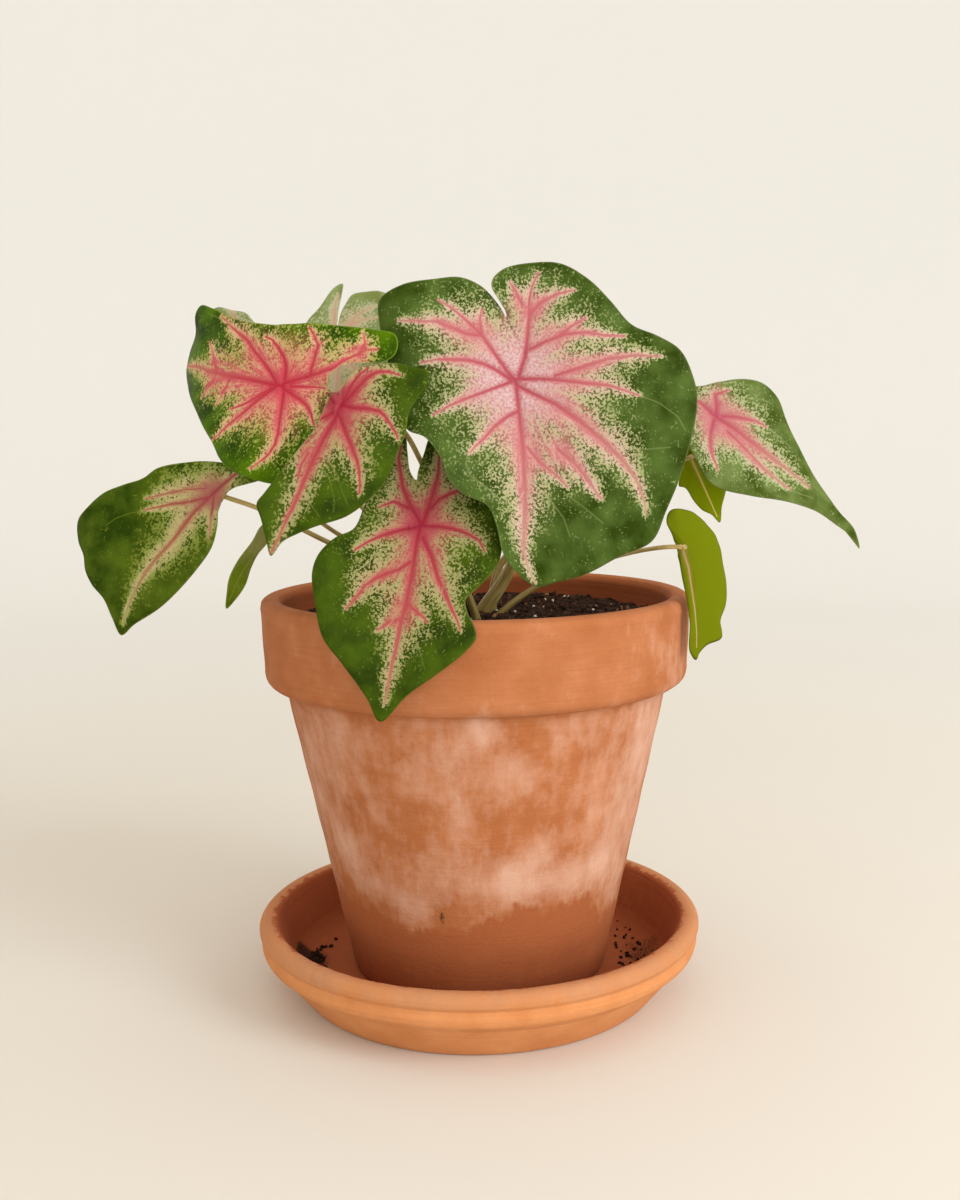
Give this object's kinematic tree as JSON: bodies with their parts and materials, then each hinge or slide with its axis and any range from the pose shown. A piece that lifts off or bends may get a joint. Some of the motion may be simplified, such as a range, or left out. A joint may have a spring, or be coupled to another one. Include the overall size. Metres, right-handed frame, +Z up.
{
  "type": "potted caladium",
  "caption": "Caladium house plant with heart-shaped leaves on arching stalks, rooted in a rolled-rim terracotta pot that stands in its saucer.",
  "frame": {"origin": "centre of the saucer's underside, on the surface that it stands on", "axes": "+Z up along the pot's axis; the viewer looks along +Y, with +X to the right"},
  "size_m": [0.3667, 0.2195, 0.3438],
  "materials": {
    "saucer_clay": "matte",
    "pot_clay": "matte",
    "soil": "matte",
    "tuber": "matte",
    "leaf": "satin",
    "pale_leaf": "satin",
    "stalk": "satin"
  },
  "bodies": {
    "root": {"saucer": "saucer_clay", "pot": "pot_clay", "soil": "soil", "tuber": "tuber", "blade_right_front": "leaf", "stalk_right_front": "stalk", "blade_left_upper": "leaf", "stalk_left_upper": "stalk", "blade_left_front": "leaf", "stalk_left_front": "stalk", "blade_centre_front": "leaf", "stalk_centre_front": "stalk", "blade_far_left": "leaf", "stalk_far_left": "stalk", "blade_young_left": "leaf", "stalk_young_left": "stalk", "blade_far_right": "leaf", "stalk_far_right": "stalk", "blade_small_right": "pale_leaf", "stalk_small_right": "stalk", "blade_low_right": "pale_leaf", "stalk_low_right": "stalk", "blade_back_left": "leaf", "stalk_back_left": "stalk", "blade_back_far_left": "leaf", "stalk_back_far_left": "stalk"}
  },
  "joints": []
}
